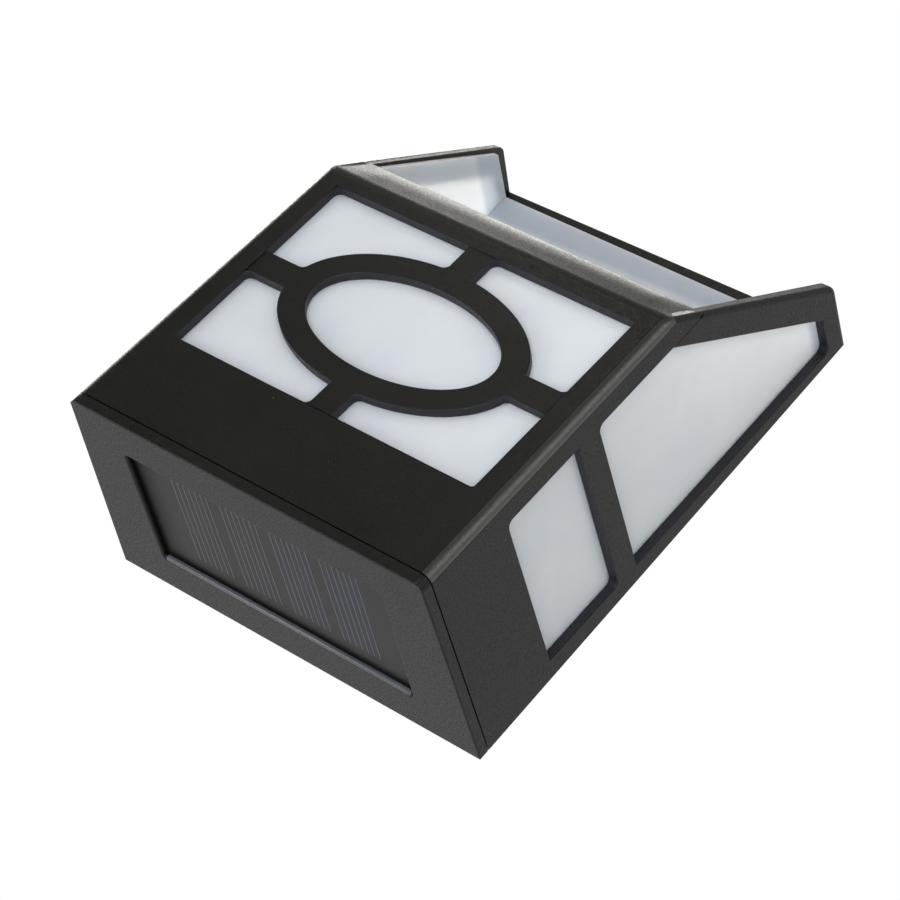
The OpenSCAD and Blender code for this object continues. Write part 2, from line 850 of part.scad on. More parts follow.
// Floor plate of the head, with room for the corner screws and the keyhole pocket
module head_plate(z, t) {
    difference() {
        column(wall_t + tray_gap, z, z + t);
        at_lugs()
            translate([-lug_w / 2 - lug_margin, -lug_w / 2 - lug_margin, z - over])
                cube([lug_w + 2 * lug_margin, lug_w + 2 * lug_margin, t + 2 * over]);
        translate([-pocket_w / 2 - tray_gap, -pocket_y - tray_gap, z - over])
            cube([pocket_w + 2 * tray_gap, pocket_y, t + 2 * over]);
        for (s = [-1, 1])
            translate([s * led_span / 2, led_y, z - over])
                cylinder(d = led_d + 2 * led_gap, h = t + 2 * over);
    }
}
// Block that stands on the tray floor, from low corner to size, let a little into the floor
module on_tray(x, y, w, d, h) {
    translate([x, y, tray_up - over / 2])
        cube([w, d, h + over / 2]);
}
module head_tray() {
    color("#e4e4e0")
        hung()
            difference() {
                union() {
                    head_plate(tray_z, floor_t);
                    // End walls of the battery cradle
                    for (x = [minus_x - plate_t - cradle_t, plus_x + plate_t])
                        on_tray(x, cell_y - cradle_w / 2, cradle_t, cradle_w, cradle_h);
                    // Saddles under the cell
                    for (x = [-cell_body_l / 4, cell_body_l / 4])
                        on_tray(x - saddle_t / 2, cell_y - cell_d / 2, saddle_t, cell_d, saddle_h);
                    at_board_posts()
                        translate([0, 0, tray_up - over / 2])
                            cylinder(d = standoff_d, h = standoff_h + over / 2);
                    // Seat and back of the switch
                    on_tray(switch_x - switch_w / 2, switch_back - bracket_t,
                        switch_w, bracket_t, switch_top - tray_up);
                    on_tray(switch_x - switch_w / 2, switch_back - over / 2,
                        switch_w, switch_d + over / 2, switch_top - switch_h - tray_up);
                }
                translate([minus_x, cell_y, cell_z])
                    rotate([0, 90, 0])
                        cylinder(r = cell_d / 2 + cradle_gap, h = plus_x - minus_x);
                at_board_posts()
                    translate([0, 0, tray_z - over])
                        cylinder(r = screw_d / 2 + thread_gap, h = floor_t + standoff_h + 2 * over);
                at_tray_posts()
                    translate([0, 0, tray_z - over])
                        cylinder(r = screw_d / 2 + hole_gap, h = floor_t + 2 * over);
            }
}
module reflector_plate() {
    color("#f0f0ee")
        hung()
            difference() {
                head_plate(reflector_z, reflector_t);
                at_tray_posts()
                    translate([0, 0, reflector_z - over])
                        cylinder(r = head_d / 2 + hole_gap, h = reflector_t + 2 * over);
            }
}

module circuit_board() {
    color("#2f6b3a")
        hung()
            difference() {
                translate([-board_w / 2, board_y - board_d / 2, board_z])
                    cube([board_w, board_d, board_t]);
                at_board_posts()
                    translate([0, 0, board_z - over])
                        cylinder(r = screw_d / 2 + hole_gap, h = board_t + 2 * over);
            }
}
module control_chip() {
    color("#1a1a1a")
        hung()
            translate([chip_x, board_y, board_top]) {
                translate([-chip_w / 2, -chip_d / 2, chip_lift])
                    cube([chip_w, chip_d, chip_t]);
                for (s = [-1, 1], i = [-1:1])
                    translate([i * leg_pitch - leg_w / 2, s * chip_d / 2 - leg_w, 0])
                        cube([leg_w, 2 * leg_w, leg_t]);
            }
}
module charge_coil() {
    color("#3f7f5a")
        hung()
            translate([coil_x, board_y + coil_d / 2, board_top + coil_d / 2])
                rotate([0, 90, 0]) {
                    translate([0, 0, -coil_l / 2])
                        cylinder(d = coil_neck_d, h = coil_l);
                    for (z = [-coil_l / 2, coil_l / 2 - coil_end])
                        translate([0, 0, z])
                            cylinder(d = coil_d, h = coil_end);
                    translate([0, 0, -coil_l / 2 - wire_out])
                        cylinder(d = coil_wire, h = coil_l + 2 * wire_out);
                }
}
module buffer_capacitor() {
    color("#2b3a78")
        hung()
            translate([can_x, board_y - board_d / 4, board_top + can_d / 2])
                rotate([0, -90, 0]) {
                    cylinder(d = can_d, h = can_foot);
                    cylinder(d = can_neck_d, h = can_foot + can_neck);
                    translate([0, 0, can_foot + can_neck])
                        cylinder(d = can_d, h = can_l - can_foot - can_neck);
                }
}
module leds() {
    color("#f3efdc")
        hung()
            for (s = [-1, 1])
                translate([s * led_span / 2, led_y, board_z - led_l + led_d / 2]) {
                    cylinder(d = led_d, h = led_l - led_d / 2);
                    sphere(d = led_d, $fn = 32);
                    translate([0, 0, led_l - led_d / 2 - led_flange_t])
                        cylinder(d = led_flange_d, h = led_flange_t);
                }
}

module battery_cell() {
    color("#3d7d4f")
        hung()
            translate([-cell_body_l / 2, cell_y, cell_z])
                rotate([0, 90, 0]) {
                    cylinder(d = cell_d, h = cell_body_l);
                    cylinder(d = button_d, h = cell_body_l + button_l);
                }
}
// Cone spring that presses on the cell's flat end
module battery_spring() {
    small = button_d / 2;
    big = cell_d / 2 - 2 * spring_wire;
    steps = spring_steps * spring_turns;
    run = spring_l - spring_wire;
    color("#b9bcc0")
        hung()
            translate([-cell_body_l / 2 - spring_wire / 2, cell_y, cell_z])
                tube([for (i = [0:steps])
                        let (f = i / steps, r = small + (big - small) * f, a = 360 * i / spring_steps)
                        [-run * f, r * cos(a), r * sin(a)]],
                    spring_wire / 2, spring_sides, [1, 0, 0]);
}
// Contact plates at both ends, standing in front of the cradle's end walls
module battery_plates() {
    color("#c4c6c8")
        hung()
            for (x = [minus_x - plate_t, plus_x])
                translate([x, cell_y - plate_w / 2, plate_low])
                    cube([plate_t, plate_w, plate_top - plate_low]);
}

module switch_case() {
    color("#b4b7ba")
        hung()
            difference() {
                union() {
                    translate([switch_x - switch_w / 2, switch_back, switch_top - switch_h])
                        cube([switch_w, switch_d, switch_h]);
                    for (i = [-1:1])
                        translate([switch_x + i * pin_pitch, switch_back + pin_d, switch_top - pin_d])
                            cylinder(d = pin_d, h = pin_l + pin_d);
                }
                // Room of the slider's shoe, and the narrower slot in front of it
                translate([switch_x - slot_len / 2, -switch_face - slot_deep, switch_z - slot_h / 2])
                    cube([slot_len, shoe_t + slide_gap, slot_h]);
                translate([switch_x - slot_len / 2, -switch_face - slot_deep, switch_z - mouth_h / 2])
                    cube([slot_len, slot_deep + over, mouth_h]);
            }
}
// Slider in its off position, which moves towards +X
module switch_slider() {
    off_x = switch_x - switch_travel / 2;
    low_y = -switch_face - slot_deep + slide_gap / 2;
    shoe_h = slot_h - 2 * slide_gap;
    color("#1c1c1c")
        hung() {
            translate([off_x - shoe_w / 2, low_y, switch_z - shoe_h / 2])
                cube([shoe_w, shoe_t, shoe_h]);
            translate([off_x - knob_w / 2, low_y, switch_z - knob_h / 2])
                cube([knob_w, -knob_sink - low_y, knob_h]);
        }
}

// Pan head screw, head down, its thread going up from z = 0
module screw(length) {
    difference() {
        union() {
            translate([0, 0, -head_h])
                cylinder(d1 = head_top_d, d2 = head_d, h = head_crown, $fn = 48);
            translate([0, 0, head_crown - head_h])
                cylinder(d = head_d, h = head_h - head_crown);
            cylinder(d = screw_d, h = length);
        }
        for (a = [0, 90])
            rotate([0, 0, a])
                translate([-cross_l / 2, -cross_w / 2, -head_h - over])
                    cube([cross_l, cross_w, over + cross_h]);
    }
}
module cap_screws() {
    color("#8d9094")
        hung()
            at_lugs()
                translate([0, 0, lug_z])
                    screw(lug_t + cap_bite);
}
module tray_screws() {
    color("#8d9094")
        hung()
            at_tray_posts()
                translate([0, 0, tray_z])
                    screw(floor_t + tray_bite);
}
module board_screws() {
    color("#8d9094")
        hung()
            at_board_posts()
                translate([0, 0, board_top])
                    mirror([0, 0, 1])
                        screw(board_t + board_bite);
}

// Leads from the panel down to the board
module solar_leads() {
    color("#a3322c")
        hung()
            for (i = [0, 1])
                lead([-panel_pad_x - i * pad_pitch, panel_y, board_under], [0, 0, -lead_bow],
                    [-board_w / 2 + pad_in + (1 - i) * pad_pitch, board_y + board_d / 2 - pad_in, board_top],
                    [0, 0, lead_bow]);
}
// Leads from the contact plates to the two ends of the board
module battery_leads() {
    color("#26282b")
        hung()
            for (s = [-1, 1]) {
                x = s < 0 ? minus_x - plate_t / 2 : plus_x + plate_t / 2;
                lead([x, cell_y + plate_w / 2 - lead_d, plate_top], [0, 0, lead_bow / 2],
                    [s * (board_w / 2 - pad_in), board_y - board_d / 2 + pad_in, board_top],
                    [0, 0, lead_bow]);
            }
}
// Leads from two of the switch's pins to the board
module switch_leads() {
    color("#a3322c")
        hung()
            for (i = [0, 1])
                lead([switch_x - i * pin_pitch, switch_back + pin_d, switch_top + pin_l],
                    [0, 0, lead_bow / 2],
                    [board_w / 2 - pad_in - i * pad_pitch, board_y + board_d / 2 - pad_in, board_top],
                    [0, 0, lead_bow]);
}

housing_shell();
diffuser_sleeve();
solar_cap();
panel_tape();
panel_resin();
solar_cells();
panel_board();
head_tray();
reflector_plate();
circuit_board();
control_chip();
charge_coil();
buffer_capacitor();
leds();
battery_cell();
battery_spring();
battery_plates();
switch_case();
switch_slider();
cap_screws();
tray_screws();
board_screws();
solar_leads();
battery_leads();
switch_leads();
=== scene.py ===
import math

import bmesh
import bpy
from mathutils import Matrix, Vector


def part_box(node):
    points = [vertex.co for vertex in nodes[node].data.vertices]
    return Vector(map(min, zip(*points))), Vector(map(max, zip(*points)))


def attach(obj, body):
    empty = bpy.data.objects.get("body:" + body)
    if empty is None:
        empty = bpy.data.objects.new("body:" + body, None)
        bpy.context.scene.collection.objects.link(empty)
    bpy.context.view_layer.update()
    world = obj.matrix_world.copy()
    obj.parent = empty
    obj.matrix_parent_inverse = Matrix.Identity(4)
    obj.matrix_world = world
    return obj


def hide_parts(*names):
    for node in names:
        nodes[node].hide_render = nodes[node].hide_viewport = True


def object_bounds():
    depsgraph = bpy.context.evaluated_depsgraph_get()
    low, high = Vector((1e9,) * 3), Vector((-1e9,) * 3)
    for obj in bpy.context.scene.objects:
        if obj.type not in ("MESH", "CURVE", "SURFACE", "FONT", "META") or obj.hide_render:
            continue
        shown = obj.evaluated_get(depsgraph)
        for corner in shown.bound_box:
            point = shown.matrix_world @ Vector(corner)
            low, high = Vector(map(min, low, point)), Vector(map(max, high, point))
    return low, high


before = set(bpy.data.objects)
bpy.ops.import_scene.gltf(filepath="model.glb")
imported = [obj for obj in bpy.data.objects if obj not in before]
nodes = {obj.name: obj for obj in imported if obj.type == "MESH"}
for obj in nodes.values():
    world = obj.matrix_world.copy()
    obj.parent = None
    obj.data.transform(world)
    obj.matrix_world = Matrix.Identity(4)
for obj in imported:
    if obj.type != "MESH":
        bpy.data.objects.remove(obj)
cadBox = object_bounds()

mm = 0.001
scene = bpy.context.scene
print("lamp loaded:", len(nodes), "pieces")


# The photo's view: the lamp is seen from above its cap, rolled so that it seems to lie on its back
cameraPlace = {
    "spot": (-333.775, -470.169, 237.479),  # mm
    "ahead": (0.53048, 0.73081, -0.42954),
    "up": (0.38108, -0.65822, -0.64925),
    "lens": 132.62, "sensor": 36.0,         # mm
    "clip": (0.02, 20),                     # m
}


def makeCamera(place):
    ahead = Vector(place["ahead"]).normalized()
    right = ahead.cross(Vector(place["up"])).normalized()
    up = right.cross(ahead)
    turn = Matrix((right, up, -ahead)).transposed()
    data = bpy.data.cameras.new("photoCamera")
    data.lens = place["lens"]
    data.sensor_width = place["sensor"]
    data.clip_start, data.clip_end = place["clip"]
    camera = bpy.data.objects.new("photoCamera", data)
    camera.matrix_world = Matrix.Translation(Vector(place["spot"]) * mm) @ turn.to_4x4()
    scene.collection.objects.link(camera)
    scene.camera = camera


makeCamera(cameraPlace)
print("camera set")


# Small helpers that the finishes and pieces below use

def clamp(value):
    return min(1, max(0, value))


def colour(code):  # sRGB hex to the linear values of a shader
    values = [int(code[i:i + 2], 16) / 255 for i in (1, 3, 5)]
    linear = [v / 12.92 if v <= 0.04045 else ((v + 0.055) / 1.055) ** 2.4 for v in values]
    return (*linear, 1.0)


def perMetre(size):  # texture scale whose detail is this many millimetres wide
    return 1 / (size * mm)


def addNode(tree, kind, values=None, feeds=None, **settings):
    node = tree.nodes.new(kind)
    for name, value in settings.items():
        setattr(node, name, value)
    for socket, value in (values or {}).items():
        node.inputs[socket].default_value = value
    for socket, source in (feeds or {}).items():
        tree.links.new(source, node.inputs[socket])
    return node


def addNoise(tree, place, size, detail=2.0, more=None):  # size in mm
    values = {"Scale": perMetre(size), "Detail": detail, **(more or {})}
    return addNode(tree, "ShaderNodeTexNoise", values, {"Vector": place}).outputs["Fac"]


def addTone(tree, source, codes, stops=(0.3, 0.7)):  # from the first colour to the second, as the source tells
    tone = addNode(tree, "ShaderNodeValToRGB", feeds={"Fac": source})
    for stop, code, element in zip(stops, codes, tone.color_ramp.elements):
        element.position = stop
        element.color = colour(code)
    return tone.outputs["Color"]


def addTint(tree, base, code, share):  # mixes one plain colour in
    return addNode(tree, "ShaderNodeMix", {7: colour(code)}, {0: share, 6: base}, data_type="RGBA").outputs[2]


def addRange(tree, source, span, values, **settings):
    return addNode(tree, "ShaderNodeMapRange", {1: span[0], 2: span[1], 3: values[0], 4: values[1]},
                   {0: source}, **settings).outputs[0]


def addBump(tree, shader, source, strength, depth):  # depth in mm
    bump = addNode(tree, "ShaderNodeBump", {"Strength": strength, "Distance": depth * mm}, {"Height": source})
    tree.links.new(bump.outputs[0], shader.inputs["Normal"])


def startFinish(name):  # a material with its shader and the piece's own coordinates
    finish = bpy.data.materials.new(name)
    finish.use_nodes = True
    tree = finish.node_tree
    tree.nodes.clear()
    shader = addNode(tree, "ShaderNodeBsdfPrincipled")
    addNode(tree, "ShaderNodeOutputMaterial", feeds={"Surface": shader.outputs[0]})
    place = addNode(tree, "ShaderNodeTexCoord").outputs["Object"]
    return finish, tree, shader, place


def keepMesh(work, name):
    mesh = bpy.data.meshes.new(name)
    work.to_mesh(mesh)
    work.free()
    return mesh


def addPiece(name, data):
    piece = bpy.data.objects.new(name, data)
    scene.collection.objects.link(piece)
    return piece


# ABS, injection moulded in an eroded tool: near black, a fine even grain that breaks up its gloss

blackAbsLook = {
    "dark": "#111110", "light": "#171716",
    "grain": 0.36, "grainRough": 0.6,   # mm, real grain is nearer 0.2 and wouldn't show
    "cloud": 16, "cloudRough": 0.55,    # mm, slow change of tone from handling
    "cloudStops": (0.3, 0.75), "glossStops": (0.3, 0.7),  # parts of each noise that change the look
    "gloss": (0.3, 0.6),                # from the hollows of the noise to its tops
    "bump": 0.5, "bumpDepth": 0.06,     # mm
    "shine": 0.2,
    "fleck": "#8b8984", "fleckApart": 6.0, "fleckSize": 0.09,  # mm, dust
    "ior": 1.54,
}


def makeMouldedAbs(name, look):
    finish, tree, shader, place = startFinish(name)
    grain = addNoise(tree, place, look["grain"], 2.0, {"Roughness": look["grainRough"]})
    cloud = addNoise(tree, place, look["cloud"], 3.0, {"Roughness": look["cloudRough"]})
    tone = addTone(tree, cloud, (look["dark"], look["light"]), look["cloudStops"])
    fleck = addNode(tree, "ShaderNodeTexVoronoi", {"Scale": perMetre(look["fleckApart"]), "Randomness": 1.0},
                    {"Vector": place}, feature="F1")
    fleckHere = addNode(tree, "ShaderNodeMath", {1: look["fleckSize"] / look["fleckApart"]},
                        {0: fleck.outputs["Distance"]}, operation="LESS_THAN")
    tree.links.new(addTint(tree, tone, look["fleck"], fleckHere.outputs[0]), shader.inputs["Base Color"])
    tree.links.new(addRange(tree, grain, look["glossStops"], look["gloss"]), shader.inputs["Roughness"])
    addBump(tree, shader, grain, look["bump"], look["bumpDepth"])
    shader.inputs["IOR"].default_value = look["ior"]
    shader.inputs["Specular IOR Level"].default_value = look["shine"]
    return finish


blackAbs = makeMouldedAbs("mouldedAbsBlack", blackAbsLook)
# Window walls were shaped by smooth inserts of the tool, so they look glossier; their lighter, purplish colour is
# painted light from the panes
insertGlossPaintedLightLook = dict(blackAbsLook, dark="#1c1b20", light="#222127", bump=0.2, shine=0.25)
# Painted highlight along the near side's front edge: a lighter colour and a much stronger shine
paintedHighlightEdgeLook = dict(blackAbsLook, dark="#1b1b1a", light="#21201f", gloss=(0.32, 0.5), bump=0.3, shine=1.0)
# Painted shadow: the parting line is near black and matte so that it shows as a dark line
seamShadowLook = dict(blackAbsLook, dark="#060606", light="#080808", shine=0.02)
insertGlossPaintedLightAbs = makeMouldedAbs("smoothInsertAbsPaintedLight", insertGlossPaintedLightLook)
paintedHighlightEdgeAbs = makeMouldedAbs("paintedHighlightAbsEdge", paintedHighlightEdgeLook)
paintedShadowSeamAbs = makeMouldedAbs("paintedShadowAbsSeam", seamShadowLook)


# Polypropylene, injection moulded, natural: milky, soft gloss, light glows through its thin wall

milkyLook = {
    "dark": "#dbe2ea", "light": "#e6ecf2",
    "flow": 22, "flowBend": 0.6,            # mm, faint flow clouds from the gate
    "grain": 0.6,                           # mm
    "gloss": 0.45,
    "bump": 0.25, "bumpDepth": 0.01,        # mm
    "glow": 1.0,
    "depth": 5.0,                           # mm that light spreads sideways
    "reach": (1.0, 0.95, 0.9),              # red, green and blue, as shares of that
    "paintedEdgeShade": "#9aa3b2", "shade": 0.55,  # painted shade over its last millimetres, next to the black rim beyond its edge
    "shadeTo": -93.0, "shadeFrom": -90.9,   # mm, height in this frame
    "shadeTilt": -0.028,                    # the painted shade reaches higher up on one side
    "ior": 1.49,
}


def makeMilkyWall(name, look):
    finish, tree, shader, place = startFinish(name)
    flow = addNoise(tree, place, look["flow"], 2.0, {"Distortion": look["flowBend"]})
    tone = addTone(tree, flow, (look["dark"], look["light"]))
    apart = addNode(tree, "ShaderNodeSeparateXYZ", feeds={0: place})
    tilt = addNode(tree, "ShaderNodeMath", {1: look["shadeTilt"]},
                   {0: apart.outputs["X"], 2: apart.outputs["Z"]}, operation="MULTIPLY_ADD")
    # Painted shade: the colour darkens towards the sleeve's lower edge, higher up on one side
    low = addRange(tree, tilt.outputs[0], (look["shadeTo"] * mm, look["shadeFrom"] * mm), (look["shade"], 0.0),
                   interpolation_type="SMOOTHSTEP")
    tree.links.new(addTint(tree, tone, look["paintedEdgeShade"], low), shader.inputs["Base Color"])
    addBump(tree, shader, addNoise(tree, place, look["grain"], 1.0), look["bump"], look["bumpDepth"])
    for socket, value in (("Roughness", look["gloss"]), ("IOR", look["ior"]), ("Subsurface Weight", look["glow"]),
                          ("Subsurface Radius", look["reach"]), ("Subsurface Scale", look["depth"] * mm)):
        shader.inputs[socket].default_value = value
    return finish


milkyWall = makeMilkyWall("milkyPolypropylene", milkyLook)
# Its cut edge lets light out, a little pink against the cool wall
milkyEdge = makeMilkyWall("milkyCutEdge", dict(milkyLook, dark="#eedfdd", light="#f4e8e6", depth=1.5, shade=0.0))


# Panel face: a matte polyester film laminated over the cells, so the black board shows with a soft gloss

boardLook = {
    "near": "#161617", "far": "#111110", "from": -20, "to": 10,  # mm across the panel
    "haze": 7, "cloud": "#181817",                               # mm
    "cloudStops": (0.4, 0.8), "cloudy": (0.0, 0.4),
    "gloss": (0.28, 0.36),
    "wallFrom": 24, "wall": 31.5,  # mm; painted shade: the film's shine fades towards one wall
    "shine": (0.09, 0.01),
    "ior": 1.57,
}
# The two cells at the near end look bluer than the others
cellLook = dict(boardLook, near="#1a1c2e", far="#131315", cloud="#171822")


def makeFilm(name, look):
    finish, tree, shader, place = startFinish(name)
    haze = addNoise(tree, place, look["haze"], 3.0)
    tree.links.new(addRange(tree, haze, (0, 1), look["gloss"]), shader.inputs["Roughness"])
    across = addNode(tree, "ShaderNodeSeparateXYZ", feeds={0: place}).outputs["X"]
    along = addRange(tree, across, (look["from"] * mm, look["to"] * mm), (0, 1))
    tone = addTone(tree, along, (look["near"], look["far"]), (0, 1))
    cloudy = addRange(tree, haze, look["cloudStops"], look["cloudy"])
    tree.links.new(addTint(tree, tone, look["cloud"], cloudy), shader.inputs["Base Color"])
    # Painted shade: the film loses its shine towards the wall
    shine = addRange(tree, across, (look["wallFrom"] * mm, look["wall"] * mm), look["shine"])
    tree.links.new(shine, shader.inputs["Specular IOR Level"])
    shader.inputs["IOR"].default_value = look["ior"]
    return finish


filmOnBoard = makeFilm("polyesterFilmOnBoard", boardLook)
filmOnCell = makeFilm("polyesterFilmOnCell", cellLook)


# Plain finishes that differ in colour, metal, gloss and the size of their grain in mm

plainBump, plainDepth = 0.2, 0.02  # strength, and depth in mm


def makeFinish(name, look):
    finish, tree, shader, place = startFinish(name)
    noise = addNoise(tree, place, look["grain"], 3.0)
    tree.links.new(addTone(tree, noise, (look["dark"], look["light"])), shader.inputs["Base Color"])
    tree.links.new(addRange(tree, noise, (0, 1), look["gloss"]), shader.inputs["Roughness"])
    addBump(tree, shader, noise, look.get("bump", plainBump), plainDepth)
    shader.inputs["Metallic"].default_value = look.get("metal", 0.0)
    if "ior" in look:
        shader.inputs["IOR"].default_value = look["ior"]
    return finish


finishes = {
    "monoSilicon": {"dark": "#24252c", "light": "#2c2e38", "grain": 4, "gloss": (0.3, 0.4), "ior": 1.8},
    "boardBlackFr4": {"dark": "#232322", "light": "#2a2a29", "grain": 1.2, "gloss": (0.45, 0.55), "ior": 1.55},
    "foamTape": {"dark": "#171717", "light": "#242424", "grain": 0.4, "gloss": (0.8, 0.95), "bump": 0.8,
                 "ior": 1.5},
    "whiteAbs": {"dark": "#dcdcd8", "light": "#e6e6e2", "grain": 0.5, "gloss": (0.38, 0.48), "ior": 1.54},
    "whitePolystyrene": {"dark": "#e9e9e6", "light": "#f0f0ed", "grain": 0.8, "gloss": (0.25, 0.35), "ior": 1.59},
    "greenSolderMask": {"dark": "#1f5a2d", "light": "#28693a", "grain": 0.8, "gloss": (0.25, 0.35), "ior": 1.55},
    "blackEpoxyMould": {"dark": "#1b1b1c", "light": "#232324", "grain": 0.3, "gloss": (0.5, 0.65), "ior": 1.55},
    "ferriteGreen": {"dark": "#2f6b47", "light": "#3c7a55", "grain": 0.5, "gloss": (0.35, 0.5), "ior": 1.6},
    "sleevedCan": {"dark": "#1f2a5c", "light": "#2a3670", "grain": 0.9, "gloss": (0.25, 0.4), "ior": 1.5},
    "wrapGreen": {"dark": "#2f6a40", "light": "#397a4c", "grain": 3, "gloss": (0.2, 0.32), "ior": 1.54},
    "springSteel": {"dark": "#a6a8ab", "light": "#babcbf", "grain": 0.3, "gloss": (0.22, 0.38), "metal": 1.0},
    "nickelPlate": {"dark": "#b4b2aa", "light": "#c8c6be", "grain": 0.6, "gloss": (0.2, 0.34), "metal": 1.0},
    "zincPlate": {"dark": "#8b8e92", "light": "#a6a9ad", "grain": 0.4, "gloss": (0.3, 0.48), "metal": 1.0},
    "blackNylon": {"dark": "#19191a", "light": "#222223", "grain": 0.35, "gloss": (0.4, 0.55), "ior": 1.53},
    "redPvc": {"dark": "#8e211c", "light": "#a02a23", "grain": 1.0, "gloss": (0.35, 0.5), "ior": 1.53},
    "silverPaste": {"dark": "#5e5e5a", "light": "#6c6c68", "grain": 0.3, "gloss": (0.5, 0.7), "ior": 1.5},
    # Lighter grey than the black shell: a painted highlight on the lip bead
    "siliconeBeadPaintedHighlight": {"dark": "#4c4d53", "light": "#55565c", "grain": 6, "gloss": (0.2, 0.26), "bump": 0.0,
                     "ior": 1.43},
    "blackPvc": {"dark": "#161616", "light": "#202020", "grain": 1.0, "gloss": (0.35, 0.5), "ior": 1.53},
}
made = {name: makeFinish(name, look) for name, look in finishes.items()}


# LED lens: cast clear epoxy with the warm phosphor's tint

lensLook = {"tint": "#f4efdc", "grain": 1.5, "gloss": (0.05, 0.12), "ior": 1.53, "clear": 0.7}


def makeLens(name, look):
    finish, tree, shader, place = startFinish(name)
    noise = addNoise(tree, place, look["grain"])
    tree.links.new(addRange(tree, noise, (0, 1), look["gloss"]), shader.inputs["Roughness"])
    shader.inputs["Base Color"].default_value = colour(look["tint"])
    shader.inputs["IOR"].default_value = look["ior"]
    shader.inputs["Transmission Weight"].default_value = look["clear"]
    return finish


lensEpoxy = makeLens("castLensEpoxy", lensLook)

dress = {
    "housing_shell": blackAbs, "solar_cap": blackAbs, "diffuser_sleeve": milkyWall, "panel_resin": filmOnBoard,
    "solar_cells": made["monoSilicon"], "panel_board": made["boardBlackFr4"], "panel_tape": made["foamTape"],
    "head_tray": made["whiteAbs"], "reflector_plate": made["whitePolystyrene"],
    "circuit_board": made["greenSolderMask"], "control_chip": made["blackEpoxyMould"],
    "charge_coil": made["ferriteGreen"], "buffer_capacitor": made["sleevedCan"], "leds": lensEpoxy,
    "battery_cell": made["wrapGreen"], "battery_spring": made["springSteel"],
    "battery_plates": made["nickelPlate"], "switch_case": made["nickelPlate"],
    "switch_slider": made["blackNylon"], "cap_screws": made["zincPlate"],
    "tray_screws": made["zincPlate"], "board_screws": made["zincPlate"],
    "solar_leads": made["redPvc"], "battery_leads": made["blackPvc"], "switch_leads": made["redPvc"],
}
for name, finish in dress.items():
    materials = nodes[name].data.materials
    materials.clear()
    materials.append(finish)
print("finishes on", len(dress), "pieces")


# Where the shell's faces lie, in mm. They lean a little, as a mould needs.

shellForm = {
    "bottom": -99.2, "height": 115,    # lowest edge in this frame
    "halfFoot": 43, "flare": 2,        # half the width at the wall, at the bottom, and what the top has more
    "sideLean": 0.05,                  # what each side loses for each mm away from the wall
    "front": 48, "frontLean": 1.5, "leanSpan": 72,  # depth at the top, and what it loses over how much height
    "footDepth": 15.1, "ridgeDepth": 46.5, "ridgeHeight": 43.0,  # ends of the slanted cut
}
cutSlope = shellForm["ridgeHeight"] / (shellForm["ridgeDepth"] - shellForm["footDepth"])


def heightOf(spot):  # mm above the lowest edge
    return spot.z / mm - shellForm["bottom"]


def halfWidth(height, depth):
    atWall = shellForm["halfFoot"] + shellForm["flare"] * height / shellForm["height"]
    return atWall - shellForm["sideLean"] * depth


def sideDepth(spot):  # mm inside the side face
    return halfWidth(heightOf(spot), -spot.y / mm) - abs(spot.x) / mm


def frontDepth(spot):  # mm inside the front face
    lean = shellForm["frontLean"] * (shellForm["height"] - heightOf(spot)) / shellForm["leanSpan"]
    return shellForm["front"] - lean + spot.y / mm


def fromRim(spot):  # mm from the slanted cut or the lowest edge, whichever is nearer
    height = heightOf(spot)
    ahead = -spot.y / mm - shellForm["footDepth"]
    return min((height - ahead * cutSlope) / math.hypot(1, cutSlope), height)


# Housing: the moulded shell with the soft edges that its mould gave it

housingLook = {
    "soften": 0.2, "softenSteps": 2,  # mm, width of the round along every sharp edge
    "sharpFrom": 40,                  # degrees, edges flatter than this are left alone
    "skin": 0.25,                     # mm, how near the outer faces an edge lies that is softened
    "softenTo": 112,                  # mm high, the cap's joint stays crisp
    "stepNear": 0.05, "spokeHalf": 3.2, "spokeHeight": 69.9,  # mm, small steps across the spokes stay crisp
    "shadeWeight": 90,
}
visorLook = {"from": 40.3, "to": 45.2, "bulge": 0.38, "end": 39.5, "fade": 7, "steps": 8}  # mm, strip at the ridge
rimLook = {  # mm; of two values the first is for the near side and the second for the far side
    "heelDrop": (1.1, 0.15), "toeDrop": (1.3, 0.2),  # how much lower the photo shows the rim than its line
    "toeAhead": 0.3, "toeFrom": 11, "toeBlend": 3,   # how much further from the wall its slant lies, far side
    "visorBlend": (4, 25),                           # over how much depth it comes back to its line at the visor
    "thick": (0.7, 0.4),                             # how much thicker the side walls end at the rim
    "edge": 0.1, "wall": (1.9, 2.1), "backWall": 2.5,  # where the inner edge of a side wall is found
    "band": 2.2, "stillFrom": 3.8,                   # from the rim: all of the drop, none of it
}
windowLook = {  # mm, where a window's wall lies
    "clear": 2.5, "below": 100,                # from the rim, and above the lowest edge
    "from": 0.2, "front": 2.6, "side": 2.2,    # inside the front or side face
    "corner": 3,                               # from the next face or the wall
    "turn": 0.4,                               # most of its normal that may point out of that face
}
# Faces along the near side's front edge that get the painted highlight
highlightEdgeLook = {"thin": 1.5, "wide": 3.5, "ahead": -0.2, "aside": (-0.98, -0.2)}  # mm, and parts of the normal
sharpTurn = 32                     # degrees, shading breaks at sharper edges
samePoint, sameFace = 0.002, 0.6   # mm and degrees within which a mesh is joined
sameWay, onCut = 0.9995, 0.02      # cosine and mm within which a face or corner belongs to the slanted cut


def solidCopy(nodeName, pieceName):  # merged copy of a CAD node's mesh, flat areas joined
    work = bmesh.new()
    work.from_mesh(nodes[nodeName].data)
    bmesh.ops.remove_doubles(work, verts=work.verts, dist=samePoint * mm)
    bmesh.ops.dissolve_limit(work, angle_limit=math.radians(sameFace), verts=work.verts, edges=work.edges)
    return addPiece(pieceName, keepMesh(work, pieceName))


